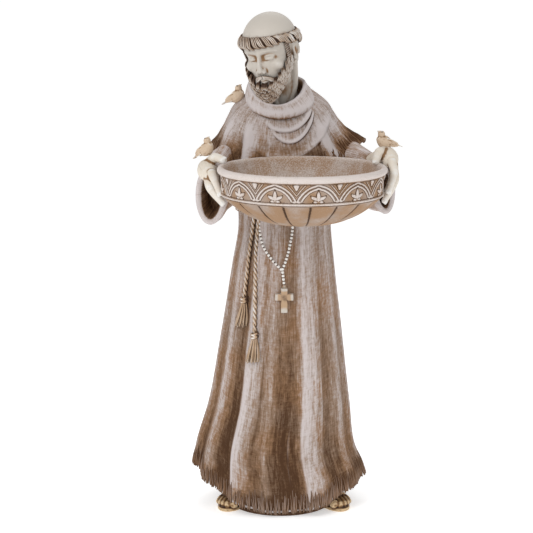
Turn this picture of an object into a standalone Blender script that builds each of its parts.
"""Garden statue of a tonsured friar in a hooded habit who holds out a wide bird basin.

Metres, +Z up. The friar faces -Y and the origin is the middle of the underside. Bearings run from the
front (-Y) towards +X, so a bearing of 90 degrees is the viewer's right.
"""
import math

import bmesh
import bpy
import numpy as np
from mathutils import Matrix, Vector

# The habit, from hem to shoulders: share of its height, half width, half depth, centre x, centre y
ROBE_TOP = 0.750
ROBE_STATIONS = (
    (0.000, 0.164, 0.108, -0.002, 0.000),
    (0.080, 0.158, 0.106, -0.004, 0.000),
    (0.153, 0.144, 0.102, -0.010, 0.001),
    (0.267, 0.127, 0.092, -0.003, 0.002),
    (0.419, 0.112, 0.081, 0.001, 0.003),
    (0.627, 0.092, 0.067, 0.005, 0.004),
    (0.720, 0.083, 0.062, 0.007, 0.005),
    (0.800, 0.084, 0.063, 0.006, 0.005),
    (0.907, 0.088, 0.064, 0.003, 0.005),
    (1.000, 0.074, 0.050, 0.000, 0.005),
)
HEM_FRONT = 0.010
HEM_LIFT_LEFT = 0.072
HEM_LIFT_RIGHT = 0.052
HEM_TEETH = 44
HEM_TOOTH = 0.0035
HEM_HOLLOW = 0.050
# Carved folds: bearing, half width in degrees, height of the ridge at the hem
ROBE_FOLDS = (
    (-86, 12, 0.009),
    (-63, 5, 0.005),
    (-38, 8, 0.012),
    (-10, 7, 0.009),
    (25, 12, 0.012),
    (58, 5, 0.006),
    (86, 13, 0.009),
)
BACK_FOLDS = 7
BACK_FOLD_HEIGHT = 0.010
FOLD_SHARE_AT_WAIST = 0.45

# The low base that the hem hides, how far it is cast too deep before its underside is cut flat, and
# the sandalled feet: x, y, turn in degrees
BASE_HALF_WIDTH = 0.098
BASE_HALF_DEPTH = 0.092
BASE_CENTRE_Y = -0.010
BASE_HEIGHT = 0.110
GROUND_TRIM = 0.004
SOLE_THICKNESS = 0.006
FOOT_LENGTH = 0.100
FOOT_WIDTH = 0.050
FEET = ((-0.088, -0.030, -24), (0.100, -0.030, 24))

# The shoulder cape: share of the way to its hem, half width, half depth
CAPE_TOP = ROBE_TOP + 0.046
CAPE_STATIONS = (
    (0.00, 0.046, 0.046),
    (0.10, 0.066, 0.054),
    (0.25, 0.086, 0.063),
    (0.43, 0.097, 0.072),
    (0.60, 0.106, 0.079),
    (0.80, 0.117, 0.085),
    (1.00, 0.131, 0.090),
)
CAPE_DROP_FRONT = 0.146
CAPE_DROP_LEFT = 0.104
CAPE_DROP_RIGHT = 0.092
CAPE_DROP_BACK = 0.168
CAPE_RIGHT_REACH = 0.026
CAPE_TEETH = 30
CAPE_TOOTH = 0.003
CAPE_FOLDS = (
    (-38, 6, 0.008),
    (34, 6, 0.008),
    (62, 9, 0.005),
    (-68, 9, 0.005),
    (120, 10, 0.007),
    (160, 10, 0.008),
    (200, 10, 0.008),
    (240, 10, 0.007),
)
# Swags under the cowl: half width, drop below the cowl, height of the ridge
SWAGS = ((0.060, 0.056, 0.0075), (0.074, 0.078, 0.0070), (0.088, 0.104, 0.0065))
SWAG_MIDDLE = 0.004
SWAG_HALF_WIDTH = 0.09

# The cowl, a thick roll of cloth round the neck, and the hood behind it
COWL_HALF_WIDTH = 0.049
COWL_HALF_DEPTH = 0.050
COWL_CENTRE = (-0.002, -0.022, CAPE_TOP - 0.008)
COWL_TILT = 0.024
COWL_ROLL = 0.0145
COWL_RECESS = ROBE_TOP - 0.010
HOOD_LENGTH = 0.110
HOOD_HALF_WIDTH = 0.060
HOOD_HALF_DEPTH = 0.024
HOOD_TOP = (0.036, CAPE_TOP + 0.020)
HOOD_SLOPE = 0.046

# The basin: where its axis stands, then radii and heights of its turned profile
BASIN_CENTRE = (0.035, -0.241)
FRIEZE_RADIUS = 0.141
FRIEZE_TAPER = 0.002
FRIEZE_HEIGHT = 0.032
WALL = 0.006
RIM_OVERHANG = 0.007
RIM_RADIUS = FRIEZE_RADIUS + RIM_OVERHANG
RIM_HEIGHT = 0.013
RIM_TOP = 0.684
MOULDING = 0.006
BOWL_DEPTH = 0.050
BOWL_SWELL = 2.9
BOWL_FLAT = 0.28
BOWL_RINGS = 5
FLOOR_THICKNESS = 0.010
FLOOR_RADIUS = 0.045
HOLLOW_RINGS = 3

# Its carving: arches with a lily under each, and the gadroons of the bowl. The gaps are between the
# castings, where the hands and the robe meet the basin and where a bird sits.
ARCHES = 12
ARCH_TURN = -5
ARCH_BAND = 0.0045
ARCH_SHARE = 0.47
ARCH_STEPS = 6
LILY = ((0, 0.08), (1.0, 0.30), (0.85, 0.46), (0.32, 0.36), (0, 0.68))
LILY_WIDTH = 0.0110
LILY_HEIGHT = 1.2
POINT_WIDTH = 0.0105
RELIEF = 0.0018
RELIEF_BITE = 0.0012
LOBES = 18
LOBE_DEPTH = 0.0090
LOBE_COLUMNS = 3
FIT_GAP = 0.0004
BIRD_GAP = 0.0008

# The head, in its own frame: the face looks along -Y from the middle of the skull. The ring of hair
# starts high in front and falls towards the back.
HEAD_PLACE = (-0.020, -0.041, CAPE_TOP + 0.077)
HEAD_YAW = -25
HEAD_NOD = 21
HEAD_LEAN = -6
SKULL = (0.049, 0.057, 0.050)
HAIR_LOCKS = 26
HAIR_ROLL = 0.0095
HAIR_TOP = 0.042
HAIR_TOP_FALL = 0.024
BEARD_LOCKS = 13

# The arms. Both hands grip the rim at the same bearing, left and right, and each list gives the
# middle of the sleeve, its half width and its half height: the shoulder from the robe's top, the
# cuff from the point that the hand grips.
GRIP_BEARING = 108
CUFF_WALL = 0.0075
CUFF_DEPTH = 0.055
CUFF_TILT = 0.018
LEFT_SHOULDER = (
    (-0.060, 0.006, -0.034, 0.034, 0.034),
    (-0.082, 0.004, -0.070, 0.036, 0.046),
    (-0.096, -0.024, -0.104, 0.035, 0.058),
)
LEFT_CUFF = ((-0.007, 0.111, -0.054, 0.031, 0.058), (-0.019, 0.037, -0.059, 0.029, 0.054))
RIGHT_SHOULDER = (
    (0.064, 0.006, -0.034, 0.034, 0.034),
    (0.090, 0.004, -0.066, 0.036, 0.044),
    (0.120, -0.024, -0.094, 0.034, 0.048),
)
RIGHT_CUFF = ((-0.020, 0.111, -0.040, 0.028, 0.050), (0.004, 0.037, -0.043, 0.023, 0.051))
# Hands: chains of x, y, z from the point that is gripped, and radius
LEFT_HAND = {
    "wrist": (
        (-0.014, 0.085, -0.044, 0.016),
        (-0.021, 0.045, -0.028, 0.016),
        (-0.027, 0.023, -0.016, 0.0175),
    ),
    "palm": (
        (-0.027, 0.023, -0.012, 0.0165),
        (-0.026, 0.007, -0.016, 0.0175),
        (-0.022, -0.007, -0.020, 0.014),
    ),
    "thumb": (
        (-0.022, 0.019, -0.002, 0.010),
        (-0.010, 0.005, 0.008, 0.0080),
        (0.004, -0.008, 0.005, 0.0068),
    ),
    "index": (
        (-0.018, -0.012, -0.016, 0.0085),
        (-0.011, -0.028, -0.029, 0.0066),
        (-0.002, -0.034, -0.051, 0.0056),
    ),
    "middle": (
        (-0.025, -0.005, -0.024, 0.0085),
        (-0.018, -0.017, -0.043, 0.0067),
        (0.003, -0.021, -0.069, 0.0056),
    ),
    "ring": (
        (-0.026, 0.009, -0.026, 0.0085),
        (-0.020, -0.001, -0.047, 0.0066),
        (0.001, -0.005, -0.072, 0.0055),
    ),
    "little": (
        (-0.024, 0.022, -0.024, 0.0080),
        (-0.018, 0.014, -0.044, 0.0060),
        (-0.003, 0.010, -0.065, 0.0050),
    ),
}
RIGHT_HAND = {
    "wrist": (
        (-0.016, 0.095, -0.016, 0.016),
        (-0.001, 0.055, 0.000, 0.016),
        (0.008, 0.027, 0.008, 0.017),
    ),
    "palm": (
        (0.010, 0.025, 0.010, 0.0165),
        (0.014, 0.009, 0.006, 0.0165),
        (0.016, -0.005, 0.002, 0.013),
    ),
    "thumb": (
        (0.004, 0.019, 0.016, 0.011),
        (-0.005, 0.003, 0.016, 0.0085),
        (-0.012, -0.009, 0.001, 0.0066),
    ),
    "index": (
        (0.017, -0.008, 0.004, 0.0085),
        (0.020, -0.024, -0.016, 0.0066),
        (0.010, -0.031, -0.048, 0.0054),
    ),
    "middle": (
        (0.021, 0.001, -0.004, 0.0085),
        (0.022, -0.013, -0.032, 0.0067),
        (0.004, -0.019, -0.066, 0.0055),
    ),
    "ring": (
        (0.022, 0.014, -0.006, 0.0085),
        (0.023, 0.003, -0.034, 0.0066),
        (0.005, -0.003, -0.069, 0.0054),
    ),
    "little": (
        (0.020, 0.027, -0.006, 0.0080),
        (0.020, 0.019, -0.030, 0.0060),
        (0.006, 0.013, -0.061, 0.0050),
    ),
}

# Small birds: where the body's middle is, turn about Z, lift of the breast in degrees. The places on
# the hands are measured from the point that is gripped, the one on the shoulder from the cape's top.
BIRD_LENGTH = 0.034
SHOULDER_BIRD = ((-0.083, -0.012, -0.012), 62, 36)
LEFT_HAND_BIRD = ((-0.029, 0.027, 0.020), 50, 40)
RIGHT_HAND_BIRD = ((0.008, 0.029, 0.033), -72, 24)

# The girdle and its two hanging ends: x on the front of the robe and drop below the girdle
BELT_SHARE = 0.763
ROPE_RADIUS = 0.0042
KNOT_RADIUS = 0.0075
TASSEL_LENGTH = 0.046
TASSEL_RADIUS = 0.0105
ROPE_ENDS = (
    ((-0.048, 0.000), (-0.058, 0.072), (-0.065, 0.132), (-0.068, 0.160)),
    ((-0.040, 0.000), (-0.046, 0.072), (-0.048, 0.152), (-0.049, 0.223)),
)
# The string of beads: left strand, right strand and the drop that carries the cross
BEAD_RADIUS = 0.0028
BEAD_PITCH = 0.0060
BEAD_STRANDS = (
    ((-0.040, 0.000), (-0.039, 0.037), (-0.033, 0.062), (-0.019, 0.084), (0.000, 0.104)),
    ((0.022, 0.000), (0.021, 0.032), (0.016, 0.062), (0.009, 0.088), (0.003, 0.104)),
    ((0.003, 0.110), (0.006, 0.136)),
)
CROSS_HEIGHT = 0.046
CROSS_WIDTH = 0.034
CROSS_BAR = 0.0120
CROSS_ARM_SHARE = 0.36
CROSS_THICKNESS = 0.0060

# Finish of the faceted solids: triangles that each sculpted piece keeps
VOXEL_BODY = 0.0022
VOXEL_FINE = 0.0011
BODY_TRIANGLES = 2240
HEAD_TRIANGLES = 850
HAND_TRIANGLES = 230
BIRD_TRIANGLES = 150

MATERIALS = {
    "habit": ((0.42, 0.30, 0.21, 1.0), 0.85),
    "basin": ((0.50, 0.39, 0.29, 1.0), 0.80),
    "cream": ((0.66, 0.60, 0.50, 1.0), 0.70),
}


def clear_scene():
    for obj in list(bpy.data.objects):
        bpy.data.objects.remove(obj)


def material(name):
    """A plain cast-stone finish."""
    colour, roughness = MATERIALS[name]
    made = bpy.data.materials.new(name)
    made.use_nodes = True
    shader = made.node_tree.nodes["Principled BSDF"]
    shader.inputs["Base Color"].default_value = colour
    shader.inputs["Roughness"].default_value = roughness
    shader.inputs["Metallic"].default_value = 0.0
    return made


def mesh_object(name, points, faces):
    mesh = bpy.data.meshes.new(name)
    mesh.from_pydata([tuple(map(float, p)) for p in points], [], [tuple(map(int, f)) for f in faces])
    mesh.validate()
    obj = bpy.data.objects.new(name, mesh)
    bpy.context.scene.collection.objects.link(obj)
    return obj


def outward(obj):
    """Turns every face outwards."""
    shape = bmesh.new()
    shape.from_mesh(obj.data)
    bmesh.ops.recalc_face_normals(shape, faces=shape.faces)
    shape.to_mesh(obj.data)
    shape.free()
    return obj


def smoothstep(low, high, value):
    t = np.clip((value - low) / (high - low), 0.0, 1.0)
    return t * t * (3 - 2 * t)


def through(stations, where):
    """Values of a table of stations on a smooth curve. The first column is what where is measured in."""
    table = np.array(stations, float)
    at, values = table[:, 0], table[:, 1:]
    slopes = np.gradient(values, at, axis=0)
    where = np.clip(np.asarray(where, float), at[0], at[-1])
    i = np.clip(np.searchsorted(at, where) - 1, 0, len(at) - 2)
    span = at[i + 1] - at[i]
    t = ((where - at[i]) / span)[..., None]
    h = span[..., None]
    return (
        values[i] * (1 + 2 * t) * (1 - t) ** 2
        + slopes[i] * h * t * (1 - t) ** 2
        + values[i + 1] * t**2 * (3 - 2 * t)
        + slopes[i + 1] * h * t**2 * (t - 1)
    )


def bearing_gap(bearing, middle):
    """Signed difference of two bearings in degrees."""
    return (np.degrees(bearing) - middle + 180.0) % 360.0 - 180.0


def loft(rings, tip_low=None, tip_high=None):
    """Points and faces of a closed skin through rings of equal length, each end closed by a fan."""
    rings = np.asarray(rings, float)
    count, around = rings.shape[:2]
    points = list(rings.reshape(-1, 3))
    low = rings[0].mean(axis=0) if tip_low is None else tip_low
    high = rings[-1].mean(axis=0) if tip_high is None else tip_high
    points += [low, high]
    faces = []
    for i in range(count - 1):
        for j in range(around):
            k = (j + 1) % around
            faces.append((i * around + j, i * around + k, (i + 1) * around + k, (i + 1) * around + j))
    bottom, top = count * around, count * around + 1
    last = (count - 1) * around
    for j in range(around):
        k = (j + 1) % around
        faces.append((bottom, k, j))
        faces.append((top, last + j, last + k))
    return points, faces


def path_frames(points):
    """Unit tangent, side and up vectors along a path; up stays close to +Z."""
    points = np.asarray(points, float)
    tangents = np.gradient(points, axis=0)
    tangents /= np.linalg.norm(tangents, axis=1)[:, None]
    steady = np.where(np.abs(tangents[:, 2:3]) > 0.9, [[0.0, -1.0, 0.0]], [[0.0, 0.0, 1.0]])
    sides = np.cross(tangents, steady)
    sides /= np.linalg.norm(sides, axis=1)[:, None]
    return tangents, sides, np.cross(sides, tangents)


def curve_through(points, count):
    """Evenly counted points on a smooth curve through the given ones."""
    points = np.asarray(points, float)
    steps = np.linalg.norm(np.diff(points[:, :3], axis=0), axis=1)
    at = np.concatenate([[0.0], np.cumsum(steps)])
    return through(np.column_stack([at, points]), np.linspace(0.0, at[-1], count))


def tube(chain, sides=10, steps=9):
    """A round-ended limb through a chain of x, y, z, radius."""
    line = curve_through(chain, steps)
    middles, radii = line[:, :3], line[:, 3]
    tangents, across, up = path_frames(middles)
    turns = np.linspace(0, 2 * math.pi, sides, endpoint=False)
    circle = np.cos(turns)[None, :, None] * across[:, None] + np.sin(turns)[None, :, None] * up[:, None]
    rings = list(middles[:, None] + circle * radii[:, None, None])
    for end, way in ((0, -1), (-1, 1)):
        capped = []
        for share in (0.5, 0.85):
            shift = way * share * radii[end] * tangents[end]
            capped.append(middles[end] + shift + circle[end] * radii[end] * math.sqrt(1 - share**2))
        rings = capped[::-1] + rings if end == 0 else rings + capped
    tips = [middles[e] + w * radii[e] * tangents[e] for e, w in ((0, -1), (-1, 1))]
    return loft(rings, tips[0], tips[1])


def ellipsoid(centre, radii, turn=None, segments=24, rings=16):
    """Points and faces of an ellipsoid, turned about its own middle."""
    shape = bmesh.new()
    bmesh.ops.create_uvsphere(shape, u_segments=segments, v_segments=rings, radius=1.0)
    placed = Matrix.Translation(centre) @ (turn or Matrix.Identity(4)) @ Matrix.Diagonal((*radii, 1.0))
    bmesh.ops.transform(shape, matrix=placed, verts=shape.verts)
    points = [v.co.copy() for v in shape.verts]
    faces = [[v.index for v in f.verts] for f in shape.faces]
    shape.free()
    return points, faces


def joined(name, shells):
    """One object from several closed shells, which may still pass through each other."""
    points, faces = [], []
    for shell_points, shell_faces in shells:
        start = len(points)
        points += list(shell_points)
        faces += [[i + start for i in f] for f in shell_faces]
    return outward(mesh_object(name, points, faces))


def applied(obj):
    """Writes an object's evaluated shape back into its mesh."""
    bpy.context.view_layer.update()
    graph = bpy.context.evaluated_depsgraph_get()
    mesh = bpy.data.meshes.new_from_object(obj.evaluated_get(graph), depsgraph=graph)
    obj.modifiers.clear()
    obj.data = mesh
    return obj


def outer_skin(obj):
    """Keeps the largest connected surface and fills any closed pocket inside it."""
    shape = bmesh.new()
    shape.from_mesh(obj.data)
    unseen = set(shape.verts)
    skins = []
    while unseen:
        front = [unseen.pop()]
        skin = list(front)
        while front:
            near = {e.other_vert(v) for v in front for e in v.link_edges} & unseen
            unseen -= near
            front = list(near)
            skin += front
        skins.append(skin)
    skins.sort(key=len)
    bmesh.ops.delete(shape, geom=[v for skin in skins[:-1] for v in skin], context="VERTS")
    shape.to_mesh(obj.data)
    shape.free()
    return obj


def sculpted(name, shells, voxel, triangles, smoothing=2):
    """Shells melted into one skin and thinned to a number of triangles."""
    obj = joined(name, shells)
    remesh = obj.modifiers.new("melt", "REMESH")
    remesh.mode = "VOXEL"
    remesh.voxel_size = voxel
    smooth = obj.modifiers.new("smooth", "SMOOTH")
    smooth.factor = 0.5
    smooth.iterations = smoothing
    outer_skin(applied(obj))
    thin = obj.modifiers.new("thin", "DECIMATE")
    thin.ratio = triangles / (2 * len(obj.data.polygons))
    return applied(obj)


def united(obj, others):
    """Adds other closed shapes to obj and removes them."""
    for other in others:
        union = obj.modifiers.new("union", "BOOLEAN")
        union.operation = "UNION"
        union.object = other
        applied(obj)
        bpy.data.objects.remove(other)
    return obj


def cut(obj, tool):
    """Takes a closed shape away from obj and removes it."""
    difference = obj.modifiers.new("cut", "BOOLEAN")
    difference.operation = "DIFFERENCE"
    difference.object = tool
    applied(obj)
    bpy.data.objects.remove(tool)
    return obj


def box_object(name, low, high):
    shape = bmesh.new()
    bmesh.ops.create_cube(shape, size=1.0)
    size = Vector(high) - Vector(low)
    middle = (Vector(high) + Vector(low)) / 2
    placed = Matrix.Translation(middle) @ Matrix.Diagonal((*size, 1.0))
    bmesh.ops.transform(shape, matrix=placed, verts=shape.verts)
    mesh = bpy.data.meshes.new(name)
    shape.to_mesh(mesh)
    shape.free()
    obj = bpy.data.objects.new(name, mesh)
    bpy.context.scene.collection.objects.link(obj)
    return obj


# The habit


def fold_relief(bearing, folds):
    """Sum of rounded ridges: each bearing, half width and height."""
    relief = np.zeros_like(bearing)
    for middle, half_width, height in folds:
        relief = relief + height * np.exp(-((bearing_gap(bearing, middle) / half_width) ** 2))
    return relief


def back_relief(bearing):
    """Even folds across the back half, fading towards the sides."""
    back = smoothstep(70, 105, np.abs(bearing_gap(bearing, 0)))
    wave = 0.5 + 0.5 * np.cos(2 * BACK_FOLDS * bearing)
    return BACK_FOLD_HEIGHT * back * wave**1.5


def hem_height(bearing):
    """The hem rests low at the front and the back and lifts over each foot."""
    side = np.sin(bearing)
    lift = np.where(side < 0, HEM_LIFT_LEFT, HEM_LIFT_RIGHT) * np.abs(side) ** 2.4
    return HEM_FRONT + lift


def robe_surface(bearing, height):
    """Points of the robe at a bearing and a height, folds included."""
    share = height / ROBE_TOP
    half_width, half_depth, middle_x, middle_y = np.moveaxis(through(ROBE_STATIONS, share), -1, 0)
    strength = 1 - (1 - FOLD_SHARE_AT_WAIST) * smoothstep(0.13, 0.67, share)
    strength = strength * (1 - 0.6 * smoothstep(0.75, 0.88, share))
    relief = strength * (fold_relief(bearing, ROBE_FOLDS) + back_relief(bearing))
    x = middle_x + (half_width + relief) * np.sin(bearing)
    y = middle_y - (half_depth + relief) * np.cos(bearing)
    return np.stack([x, y, height], axis=-1)


def robe_shell(columns=240, rows=60):
    bearing = np.linspace(0, 2 * math.pi, columns, endpoint=False)
    teeth = HEM_TOOTH * np.cos(HEM_TEETH * bearing)
    hem = hem_height(bearing) + teeth
    share = np.linspace(0, 1, rows)[:, None] ** 1.2
    height = hem[None, :] + (ROBE_TOP - hem[None, :]) * share
    rings = robe_surface(np.broadcast_to(bearing, height.shape), height)
    return loft(rings, tip_low=(0.0, 0.0, HEM_FRONT + HEM_HOLLOW))


def cape_hem_height(bearing):
    front = 0.5 + 0.5 * np.cos(bearing)
    side = np.abs(np.sin(bearing)) ** 2
    middle = CAPE_DROP_FRONT * front + CAPE_DROP_BACK * (1 - front)
    edge = np.where(np.sin(bearing) < 0, CAPE_DROP_LEFT, CAPE_DROP_RIGHT)
    return CAPE_TOP - middle * (1 - side) - edge * side


def swag_relief(x, y, z):
    """Curved ridges that hang under the cowl across the chest."""
    relief = np.zeros_like(x)
    for half_width, drop, height in SWAGS:
        across = (x - SWAG_MIDDLE) / half_width
        down = (CAPE_TOP - COWL_ROLL - z) / drop
        ring = np.sqrt(across**2 + np.maximum(down, 0) ** 2)
        fade = smoothstep(0.1, 0.5, down) * smoothstep(0.0, 0.03, -y)
        relief = relief + height * fade * np.exp(-(((ring - 1) / SWAG_HALF_WIDTH) ** 2))
    return relief


def cape_surface(bearing, share, teeth=0.0):
    """Points of the shoulder cape at a bearing and a share of the way from neck to hem."""
    half_width, half_depth = np.moveaxis(through(CAPE_STATIONS, share), -1, 0)
    right = np.clip(np.sin(bearing), 0, 1) ** 2 * share**5
    half_width = half_width + CAPE_RIGHT_REACH * right
    height = CAPE_TOP + (cape_hem_height(bearing) + teeth - CAPE_TOP) * share
    height = height - COWL_TILT * np.cos(bearing) * (1 - share) ** 2
    folds = smoothstep(0.25, 0.9, share) * fold_relief(bearing, CAPE_FOLDS)
    x = (half_width + folds) * np.sin(bearing)
    y = -(half_depth + folds) * np.cos(bearing) - 0.014 * (1 - share)
    swags = swag_relief(x, y, height)
    return np.stack([x + swags * np.sin(bearing), y - swags * np.cos(bearing), height], axis=-1)


def cape_shell(columns=200, rows=40):
    bearing = np.linspace(0, 2 * math.pi, columns, endpoint=False)
    share = np.linspace(1, 0, rows)[:, None]
    teeth = CAPE_TOOTH * np.cos(CAPE_TEETH * bearing)
    wide = np.broadcast_to(bearing, (rows, columns))
    rings = cape_surface(wide, np.broadcast_to(share, wide.shape), np.broadcast_to(teeth, wide.shape))
    under = rings[0] * [0.86, 0.84, 1.0] + [0.0, 0.0, 0.006]
    inside = (0, 0, CAPE_TOP - CAPE_DROP_RIGHT)
    return loft([under, *rings], tip_low=inside, tip_high=(0, COWL_CENTRE[1], COWL_RECESS))


def cowl_shell(columns=72, sides=14):
    """The roll of cloth, thicker at the front, as a ring tilted down towards the chest."""
    points, faces = [], []
    for i in range(columns):
        bearing = 2 * math.pi * i / columns
        out = Vector((math.sin(bearing), -math.cos(bearing), 0))
        middle = Vector(COWL_CENTRE) + Vector((COWL_HALF_WIDTH * out.x, COWL_HALF_DEPTH * out.y, 0))
        middle.z -= COWL_TILT * math.cos(bearing)
        roll = COWL_ROLL * (1 + 0.10 * math.cos(bearing))
        for j in range(sides):
            turn = 2 * math.pi * j / sides
            lift = Vector((0, 0, 1.15 * roll * math.sin(turn)))
            points.append(middle + out * roll * math.cos(turn) + lift)
    for i in range(columns):
        for j in range(sides):
            a, b = i * sides, ((i + 1) % columns) * sides
            k = (j + 1) % sides
            faces.append((a + j, b + j, b + k, a + k))
    return points, faces


def hood_shell():
    """The hood lying on the back, as a flattened bag that narrows to a point."""
    rings = []
    turns = np.linspace(0, 2 * math.pi, 28, endpoint=False)
    for share in np.linspace(0.02, 0.98, 14):
        width = HOOD_HALF_WIDTH * math.sin(math.pi * share**0.62) ** 0.7
        depth = HOOD_HALF_DEPTH * (1 - 0.4 * share)
        middle = Vector((0, HOOD_TOP[0] + HOOD_SLOPE * share, HOOD_TOP[1] - HOOD_LENGTH * share))
        rings.append([middle + Vector((width * math.sin(t), depth * math.cos(t), 0)) for t in turns])
    return loft(rings[::-1])


def grip(side):
    """The point of the rim that a hand holds: side -1 is the viewer's left."""
    turn = math.radians(GRIP_BEARING)
    x = BASIN_CENTRE[0] + side * RIM_RADIUS * math.sin(turn)
    return np.array([x, BASIN_CENTRE[1] - RIM_RADIUS * math.cos(turn), RIM_TOP])


def shifted(rows, origin):
    """Rows of x, y, z and more, moved to an origin."""
    return [(*(np.array(row[:3]) + origin), *row[3:]) for row in rows]


def sleeve_shell(shoulder, cuff, held, steps=20, sides=36):
    """A wide sleeve with a turned-back cuff and a hollow mouth that leans back at its top."""
    stations = shifted(shoulder, np.array([0, 0, ROBE_TOP])) + shifted(cuff, held)
    line = curve_through(stations, steps)
    tangents, across, up = path_frames(line[:, :3])
    turns = np.linspace(0, 2 * math.pi, sides, endpoint=False)
    lean = -CUFF_TILT * smoothstep(steps * 0.6, steps - 1, np.arange(steps))

    def section(i, inset, shift=0.0):
        wide, high = line[i, 3] - inset, line[i, 4] - inset
        ring = np.cos(turns)[:, None] * across[i] * wide + np.sin(turns)[:, None] * up[i] * high
        along = shift + lean[i] * np.sin(turns)[:, None]
        return line[i, :3] + tangents[i] * along + ring

    rings = [section(i, 0.0) for i in range(steps)]
    rings.append(section(-1, CUFF_WALL * 0.2, CUFF_WALL * 0.7))
    rings.append(section(-1, CUFF_WALL * 0.6, CUFF_WALL * 0.8))
    rings.append(section(-1, CUFF_WALL, CUFF_WALL * 0.3))
    rings.append(section(-1, CUFF_WALL, -CUFF_DEPTH * 0.5))
    rings.append(section(-1, CUFF_WALL * 1.6, -CUFF_DEPTH))
    return loft(rings)


def base_shell():
    turns = np.linspace(0, 2 * math.pi, 64, endpoint=False)
    x = BASE_HALF_WIDTH * np.sin(turns)
    y = BASE_CENTRE_Y - BASE_HALF_DEPTH * np.cos(turns)
    return loft([np.column_stack([x, y, np.full(64, z)]) for z in (-GROUND_TRIM, BASE_HEIGHT)])


# Hands, feet and head


def foot_shells(x, y, turn):
    """A foot in a thick-soled sandal, its five toes spread in front."""
    place = Matrix.Translation((x, y, 0)) @ Matrix.Rotation(math.radians(turn), 4, "Z")
    outline = []
    for t in np.linspace(0, 2 * math.pi, 28, endpoint=False):
        narrow = 1 - 0.16 * math.sin(t)
        outline.append((FOOT_WIDTH / 2 * math.cos(t) * narrow, FOOT_LENGTH / 2 * math.sin(t), 0))
    sole = []
    for z in (-GROUND_TRIM, SOLE_THICKNESS):
        sole.append([place @ Vector((p[0], p[1], z)) for p in outline])
    shells = [loft(sole)]
    instep = ((0, 0.030, 0.022, 0.021), (0, 0.000, 0.018, 0.018), (0, -0.022, 0.013, 0.0135))
    shells.append(tube([(*(place @ Vector(p[:3])), p[3]) for p in instep], sides=16))
    for i in range(5):
        side = (i - 2) * 0.0082
        reach = -0.047 + 0.0028 * abs(i - 1.5)
        radius = 0.0055 if i else 0.0068
        toe = ((side, -0.022, 0.012, radius), (side * 1.05, reach, 0.0105, radius * 0.95))
        shells.append(tube([(*(place @ Vector(p[:3])), p[3]) for p in toe], sides=10, steps=5))
    return shells


def hand_shells(chains, held):
    return [tube(shifted(chain, held), sides=12, steps=9) for chain in chains.values()]


def head_frame():
    """From the head's own frame to the statue's."""
    turn = Matrix.Rotation(math.radians(HEAD_YAW), 4, "Z")
    turn = turn @ Matrix.Rotation(math.radians(HEAD_NOD), 4, "X")
    return Matrix.Translation(HEAD_PLACE) @ turn @ Matrix.Rotation(math.radians(HEAD_LEAN), 4, "Y")


def head_shells():
    """Skull, face, ears, tonsure, moustache and beard in the head's own frame."""
    shells = [
        ellipsoid((0, 0.006, 0.016), SKULL),
        ellipsoid((0, -0.014, -0.018), (0.0385, 0.038, 0.048)),
        ellipsoid((0, -0.036, -0.050), (0.021, 0.016, 0.015)),
    ]
    nose = ((0, -0.050, 0.012, 0.0045), (0, -0.055, -0.004, 0.0050), (0, -0.060, -0.020, 0.0068))
    shells.append(tube(nose))
    for side in (-1, 1):
        shells.append(ellipsoid((side * 0.0050, -0.0545, -0.0225), (0.0050, 0.0050, 0.0040)))
        brow = (
            (side * 0.006, -0.0500, 0.0120, 0.0042),
            (side * 0.018, -0.0470, 0.0155, 0.0042),
            (side * 0.031, -0.0370, 0.0110, 0.0045),
        )
        shells.append(tube(brow))
        shells.append(ellipsoid((side * 0.0170, -0.0415, 0.0030), (0.0088, 0.0070, 0.0060)))
        shells.append(ellipsoid((side * 0.0230, -0.0350, -0.0170), (0.0150, 0.0130, 0.0140)))
        ear = Matrix.Rotation(side * math.radians(16), 4, "Z") @ Matrix.Rotation(math.radians(-8), 4, "X")
        shells.append(ellipsoid((side * 0.0480, 0.0030, -0.0040), (0.0050, 0.0100, 0.0170), ear))
        moustache = (
            (0, -0.0560, -0.0310, 0.0042),
            (side * 0.010, -0.0540, -0.0345, 0.0048),
            (side * 0.021, -0.0440, -0.0440, 0.0040),
        )
        shells.append(tube(moustache))
    shells.append(ellipsoid((0, -0.0520, -0.0415), (0.0090, 0.0050, 0.0042)))
    return shells + hair_shells() + beard_shells()


def hair_shells():
    """Locks combed down all round from the shaved crown."""
    shells = []
    for i in range(HAIR_LOCKS):
        bearing = 2 * math.pi * (i + 0.5) / HAIR_LOCKS
        out = Vector((math.sin(bearing), -math.cos(bearing), 0))
        back = 0.5 - 0.5 * math.cos(bearing)
        high = HAIR_TOP - HAIR_TOP_FALL * back
        low = 0.0180 - 0.044 * smoothstep(0.45, 1.0, back)
        chain = []
        for share, roll in ((0.0, 0.55), (0.35, 1.0), (0.75, 1.0), (1.0, 0.7)):
            z = high + (low - high) * share
            ring = math.sqrt(max(0.0, 1 - ((z - 0.016) / SKULL[2]) ** 2 * 0.9))
            sweep = Vector((-out.y, out.x, 0)) * 0.004 * share
            spot = Vector((out.x * SKULL[0] * ring, 0.006 + out.y * SKULL[1] * ring, z)) + sweep
            chain.append((*(spot + out * 0.0015), HAIR_ROLL * roll * 0.72))
        shells.append(tube(chain, sides=8, steps=7))
    return shells


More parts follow.
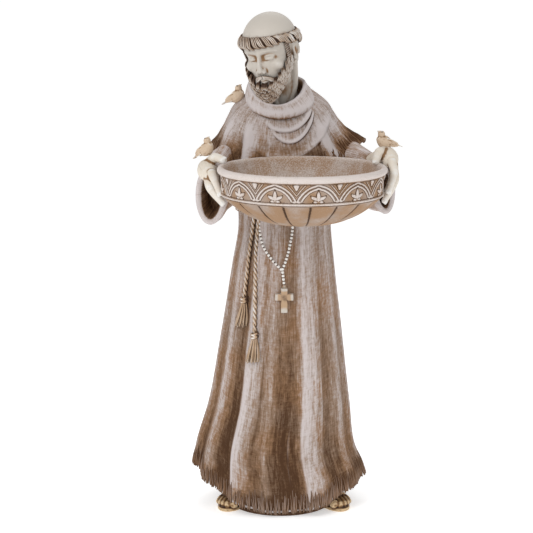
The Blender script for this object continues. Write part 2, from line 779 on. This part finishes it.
def beard_shells():
    """Locks that follow the jaw from ear to ear and gather in a short pointed beard."""
    shells = []
    for i in range(BEARD_LOCKS):
        share = i / (BEARD_LOCKS - 1)
        bearing = math.radians(-104 + 208 * share)
        front = math.cos(bearing / 1.16) ** 2
        out = Vector((math.sin(bearing), -math.cos(bearing), 0))
        top = Vector((out.x * 0.0395, -0.014 + out.y * 0.0380, -0.012 - 0.033 * front))
        end = Vector((out.x * 0.0250, -0.026 + out.y * 0.0300, -0.054 - 0.028 * front))
        middle = (top + end) / 2 + out * 0.0065
        chain = [(*p, r) for p, r in ((top, 0.0045), (middle, 0.0078), (end, 0.0040))]
        shells.append(tube(chain, sides=8, steps=7))
    shells.append(ellipsoid((0, -0.040, -0.064), (0.0155, 0.0140, 0.0180)))
    return shells


def neck_shell():
    skull = head_frame() @ Vector((0, 0.014, -0.030))
    foot = (0.004, -0.006, COWL_RECESS - 0.010, 0.032)
    return tube((foot, (0.003, -0.010, CAPE_TOP - 0.011, 0.0275), (*skull, 0.030)), sides=24)


# The girdle's ends and the string of beads, in relief on the robe


def on_robe(x, drop, proud):
    """A point in front of the robe's carved surface, so far below the girdle."""
    height = ROBE_TOP * BELT_SHARE - drop
    half_width, _, middle_x, _ = through(ROBE_STATIONS, np.array(height / ROBE_TOP))
    bearing = np.arcsin(np.clip((x - middle_x) / half_width, -0.98, 0.98))
    surface = robe_surface(np.array(bearing), np.array(height))
    return Vector((x, surface[1] - proud, height))


def rope_shells(route):
    """One hanging end: rope, knot and tassel."""
    spots = curve_through(route, 9)
    rope = [(*on_robe(x, drop, ROPE_RADIUS * 0.55), ROPE_RADIUS) for x, drop in spots]
    x, foot = spots[-1]
    knot = on_robe(x, foot + KNOT_RADIUS * 0.6, KNOT_RADIUS * 0.5)
    shells = [tube(rope, sides=5, steps=8)]
    shells.append(ellipsoid(knot, (KNOT_RADIUS, KNOT_RADIUS, KNOT_RADIUS), segments=6, rings=4))
    top = foot + KNOT_RADIUS
    tassel = [(*on_robe(x, top, 0.004), TASSEL_RADIUS * 0.5)]
    tassel.append((*on_robe(x, top + TASSEL_LENGTH / 2, 0.004), TASSEL_RADIUS * 0.85))
    tassel.append((*on_robe(x, top + TASSEL_LENGTH - TASSEL_RADIUS, 0.003), TASSEL_RADIUS))
    shells.append(tube(tassel, sides=6, steps=4))
    return shells


def belt_shell(columns=32, sides=4):
    """The rope round the waist."""
    turns = np.linspace(0, 2 * math.pi, columns, endpoint=False)
    ring = robe_surface(turns, np.full(columns, ROBE_TOP * BELT_SHARE))
    out = np.stack([np.sin(turns), -np.cos(turns), np.zeros(columns)], axis=-1)
    around = np.linspace(0, 2 * math.pi, sides, endpoint=False)
    points, faces = [], []
    for i in range(columns):
        for turn in around:
            lift = np.array([0, 0, ROPE_RADIUS * math.sin(turn)])
            points.append(ring[i] + out[i] * ROPE_RADIUS * math.cos(turn) + lift)
        for j in range(sides):
            a, b, k = i * sides, ((i + 1) % columns) * sides, (j + 1) % sides
            faces.append((a + j, b + j, b + k, a + k))
    return points, faces


def bead_shells():
    """Each bead is a small faceted stud that bites into the robe behind it."""
    shells = []
    for strand in BEAD_STRANDS:
        steps = np.linalg.norm(np.diff(np.array(strand), axis=0), axis=1).sum()
        for x, drop in curve_through(strand, max(2, round(steps / BEAD_PITCH) + 1)):
            spot = on_robe(x, drop, BEAD_RADIUS * 0.45)
            shells.append(ellipsoid(spot, (BEAD_RADIUS,) * 3, segments=4, rings=2))
    return shells


def cross_object():
    """A plain Latin cross that hangs from the last bead and stands proud of the robe."""
    x, drop = BEAD_STRANDS[-1][-1]
    drop += BEAD_RADIUS
    spots = [on_robe(x, drop, 0), on_robe(x, drop + CROSS_HEIGHT, 0)]
    top = spots[0].z
    arm = top - CROSS_HEIGHT * CROSS_ARM_SHARE
    back = max(spot.y for spot in spots) + CROSS_THICKNESS
    front = min(spot.y for spot in spots) - CROSS_THICKNESS
    half = CROSS_BAR / 2
    reach = CROSS_WIDTH / 2
    upright = box_object("upright", (x - half, front, top - CROSS_HEIGHT), (x + half, back, top))
    bar = box_object("bar", (x - reach, front, arm - half), (x + reach, back, arm + half))
    return united(upright, [bar])


# The basin


def basin_levels():
    """Heights where the rim, the frieze and the moulding end, and where the bowl begins."""
    rim_foot = RIM_TOP - RIM_HEIGHT
    frieze_foot = rim_foot - FRIEZE_HEIGHT
    return rim_foot, frieze_foot, frieze_foot - MOULDING


def bowl_profile(radius, top, rings):
    """Radius and height of the bowl's underside, from the moulding down to its flat middle."""
    shares = np.linspace(1.0, BOWL_FLAT, rings)
    return [(radius * share, top - BOWL_DEPTH * (1 - share**BOWL_SWELL)) for share in shares]


def outside_profile():
    rim_foot, frieze_foot, bowl_top = basin_levels()
    lip = RIM_HEIGHT / 4
    return [
        (RIM_RADIUS - (RIM_OVERHANG + WALL) / 2, RIM_TOP),
        (RIM_RADIUS - lip / 2, RIM_TOP - lip / 2),
        (RIM_RADIUS, rim_foot + lip),
        (FRIEZE_RADIUS, rim_foot),
        (FRIEZE_RADIUS - FRIEZE_TAPER, frieze_foot),
        (FRIEZE_RADIUS + MOULDING / 5, frieze_foot - MOULDING / 3),
        *bowl_profile(FRIEZE_RADIUS - FRIEZE_TAPER, bowl_top, BOWL_RINGS),
    ]


def inside_profile(gap=0.0):
    """The hollow, from above the rim down to the basin's floor, drawn in by a gap."""
    floor = basin_levels()[2] - BOWL_DEPTH + FLOOR_THICKNESS + 2 * gap
    mouth = FRIEZE_RADIUS - WALL - 2 * gap
    depth = RIM_TOP - floor
    profile = [(mouth, RIM_TOP + depth), (mouth, RIM_TOP)]
    for turn in np.linspace(15, 75, HOLLOW_RINGS):
        t = math.radians(turn)
        radius = FLOOR_RADIUS + (mouth - FLOOR_RADIUS) * math.cos(t)
        profile.append((radius, RIM_TOP - depth * math.sin(t)))
    return profile + [(FLOOR_RADIUS, floor)]


def clearance_profile(gap):
    """The outline of the basin and its relief with a gap round it."""
    rim_foot, frieze_foot, bowl_top = basin_levels()
    belly = FRIEZE_RADIUS + RELIEF * LILY_HEIGHT + gap
    bowl = bowl_profile(FRIEZE_RADIUS - FRIEZE_TAPER, bowl_top, BOWL_RINGS)
    return [
        (RIM_RADIUS + gap, RIM_TOP + gap),
        (RIM_RADIUS + gap, rim_foot - gap),
        (belly, rim_foot - 2 * gap),
        (belly, bowl_top - gap),
        *[(radius + gap, height - 2 * gap) for radius, height in bowl[1:]],
    ]


def lobe_depth(bearing, share):
    """How far the gadroons cut in, at a share of the bowl's radius: grooves between rounded lobes."""
    fade = np.clip((1.0 - share) * 8, 0, 1)
    wave = np.abs(np.cos(LOBES * (bearing - math.radians(ARCH_TURN)) / 2))
    return LOBE_DEPTH * share * fade * (1 - wave**0.7)


def turned(profile, columns, lobed=False):
    """A closed solid of revolution about the basin's axis, with the gadroons where lobed."""
    phase = math.radians(ARCH_TURN) + math.pi / LOBES
    bearing = phase + np.linspace(0, 2 * math.pi, columns, endpoint=False)
    bowl_top = basin_levels()[2]
    rings = []
    for radius, height in profile:
        around = np.full(columns, radius)
        if lobed and height < bowl_top:
            around = around - lobe_depth(bearing, radius / FRIEZE_RADIUS)
        x = BASIN_CENTRE[0] + around * np.sin(bearing)
        y = BASIN_CENTRE[1] - around * np.cos(bearing)
        rings.append(np.stack([x, y, np.full(columns, height)], axis=-1))
    return loft(rings)


def wrapped(along, up, proud):
    """A point of the frieze: along the wall in radians from the front, up from its foot, proud of it."""
    foot = basin_levels()[1]
    radius = FRIEZE_RADIUS - FRIEZE_TAPER * (1 - up / FRIEZE_HEIGHT) + proud
    return (
        BASIN_CENTRE[0] + radius * math.sin(along),
        BASIN_CENTRE[1] - radius * math.cos(along),
        foot + up,
    )


def band_shell(route, width, relief):
    """A flat moulding that follows a route of (along, up) on the frieze."""
    flat = np.array(route) * [FRIEZE_RADIUS, 1.0]
    way = np.gradient(flat, axis=0)
    way /= np.linalg.norm(way, axis=1)[:, None]
    side = np.stack([-way[:, 1], way[:, 0]], axis=-1) * width / 2
    rings = []
    for spot, off in zip(flat, side):
        ring = []
        for edge, proud in ((1, -RELIEF_BITE), (1, relief), (-1, relief), (-1, -RELIEF_BITE)):
            along, up = spot + off * edge
            ring.append(wrapped(along / FRIEZE_RADIUS, up, proud))
        rings.append(ring)
    return loft(rings)


def plate_shell(outline, relief):
    """A raised leaf from an outline of (along, up), highest in its middle."""
    rings = []
    for proud in (-RELIEF_BITE, relief * 0.6):
        rings.append([wrapped(along, up, proud) for along, up in outline])
    along, up = np.mean(outline, axis=0)
    return loft(rings, wrapped(along, up, -RELIEF_BITE), wrapped(along, up, relief))


def frieze_shells():
    """Round arches side by side, a three-leaved lily under each and a small point between them."""
    shells = []
    span = 2 * math.pi / ARCHES
    low, high = ARCH_BAND * 0.6, FRIEZE_HEIGHT - ARCH_BAND * 0.6
    for i in range(ARCHES):
        middle = math.radians(ARCH_TURN) + (i + 0.5) * span
        arch = []
        for t in np.linspace(-1, 1, ARCH_STEPS):
            arch.append((middle + t * span * ARCH_SHARE, low + (high - low) * (1 - t * t)))
        shells.append(band_shell(arch, ARCH_BAND, RELIEF))
        half = [(share * LILY_WIDTH, up * FRIEZE_HEIGHT) for share, up in LILY]
        outline = half + [(-along, up) for along, up in half[-2:0:-1]]
        placed = [(middle + along / FRIEZE_RADIUS, up) for along, up in outline]
        shells.append(plate_shell(placed, RELIEF * LILY_HEIGHT))
        point = [(-POINT_WIDTH, high), (0, high - POINT_WIDTH), (POINT_WIDTH, high)]
        placed = [(middle + span / 2 + along / FRIEZE_RADIUS, up) for along, up in point]
        shells.append(plate_shell(placed, RELIEF))
    return shells


def basin_object():
    body = joined("basin", [turned(outside_profile(), LOBES * LOBE_COLUMNS, lobed=True)])
    united(body, [joined("relief", [shell]) for shell in frieze_shells()])
    return cut(body, joined("hollow", [turned(inside_profile(), LOBES * 2)]))


def basin_room():
    """The space that the hands and the robe leave for the basin."""
    room = joined("room", [turned(clearance_profile(FIT_GAP), LOBES * LOBE_COLUMNS)])
    return cut(room, joined("mouth", [turned(inside_profile(FIT_GAP), LOBES * 2)]))


# The birds


def bird_shells(place, turn, lift):
    """A plump finch with folded wings, its head up and its tail out behind, in units of its length."""
    frame = Matrix.Translation(place) @ Matrix.Rotation(math.radians(turn), 4, "Z")
    frame = frame @ Matrix.Rotation(math.radians(-lift), 4, "X") @ Matrix.Scale(BIRD_LENGTH, 4)

    def limb(*chain):
        return tube([(*(frame @ Vector(row[:3])), row[3] * BIRD_LENGTH) for row in chain], sides=12)

    body = limb((0, -0.34, 0.02, 0.22), (0, -0.12, -0.02, 0.30), (0, 0.16, 0, 0.26), (0, 0.40, 0.04, 0.13))
    head = limb((0, -0.30, 0.14, 0.19), (0, -0.40, 0.34, 0.195))
    beak = limb((0, -0.54, 0.36, 0.07), (0, -0.68, 0.35, 0.025))
    tail = limb((0, 0.36, 0.06, 0.10), (0, 0.66, 0.10, 0.07), (0, 1.02, 0.12, 0.06))
    shells = [body, head, beak, tail]
    for side in (-1, 1):
        breast, back = (side * 0.20, -0.16, 0.06, 0.13), (side * 0.22, 0.14, 0.06, 0.14)
        shells.append(limb(breast, back, (side * 0.10, 0.58, 0.10, 0.05)))
    return shells


def bird_places():
    """Each bird's name, place, turn and lift."""
    anchors = (
        ("bird_on_shoulder", SHOULDER_BIRD, np.array([0, 0, CAPE_TOP])),
        ("bird_on_left_hand", LEFT_HAND_BIRD, grip(-1)),
        ("bird_on_right_hand", RIGHT_HAND_BIRD, grip(1)),
    )
    return [(name, np.array(place) + anchor, turn, lift) for name, (place, turn, lift), anchor in anchors]


def body_object():
    """The habit, cape, cowl, sleeves and feet in one skin."""
    shells = [robe_shell(), base_shell(), cape_shell(), cowl_shell(), hood_shell()]
    shells.append(sleeve_shell(LEFT_SHOULDER, LEFT_CUFF, grip(-1)))
    shells.append(sleeve_shell(RIGHT_SHOULDER, RIGHT_CUFF, grip(1)))
    for x, y, turn in FEET:
        shells += foot_shells(x, y, turn)
    return sculpted("figure", shells, VOXEL_BODY, BODY_TRIANGLES)


def head_object():
    shells = []
    frame = head_frame()
    for points, faces in head_shells():
        shells.append(([frame @ Vector(p) for p in points], faces))
    return sculpted("head", [*shells, neck_shell()], VOXEL_FINE, HEAD_TRIANGLES)


def figure_object():
    figure = body_object()
    parts = [head_object()]
    parts.append(sculpted("left_hand", hand_shells(LEFT_HAND, grip(-1)), VOXEL_FINE, HAND_TRIANGLES))
    parts.append(sculpted("right_hand", hand_shells(RIGHT_HAND, grip(1)), VOXEL_FINE, HAND_TRIANGLES))
    parts.append(joined("belt", [belt_shell()]))
    for route in ROPE_ENDS:
        parts += [joined("rope", [shell]) for shell in rope_shells(route)]
    parts += [joined("bead", [shell]) for shell in bead_shells()]
    parts.append(cross_object())
    return united(figure, parts)


def bird_object(name, place, turn, lift):
    return sculpted(name, bird_shells(place, turn, lift), VOXEL_FINE, BIRD_TRIANGLES, smoothing=1)


def swollen(obj, gap):
    """A copy of a piece that is larger all over by a gap, to cut its seat with."""
    copy = obj.copy()
    copy.data = obj.data.copy()
    bpy.context.scene.collection.objects.link(copy)
    swell = copy.modifiers.new("swell", "DISPLACE")
    swell.strength = gap
    swell.mid_level = 0.0
    return applied(copy)


def main():
    clear_scene()
    figure = figure_object()
    basin = basin_object()
    cut(figure, basin_room())
    birds = [bird_object(*row) for row in bird_places()]
    for bird in birds:
        cut(figure, swollen(bird, BIRD_GAP))
    reach = 2 * RIM_RADIUS + BASE_HALF_DEPTH
    cut(figure, box_object("ground", (-reach, -reach, -10 * GROUND_TRIM), (reach, reach, 0.0)))
    outer_skin(figure)
    for obj, finish in ((figure, "habit"), (basin, "basin"), *[(bird, "cream") for bird in birds]):
        obj.data.materials.append(material(finish))
    for obj in (figure, basin):
        obj.data.shade_smooth()
        obj.data.set_sharp_from_angle(angle=math.radians(50))


main()
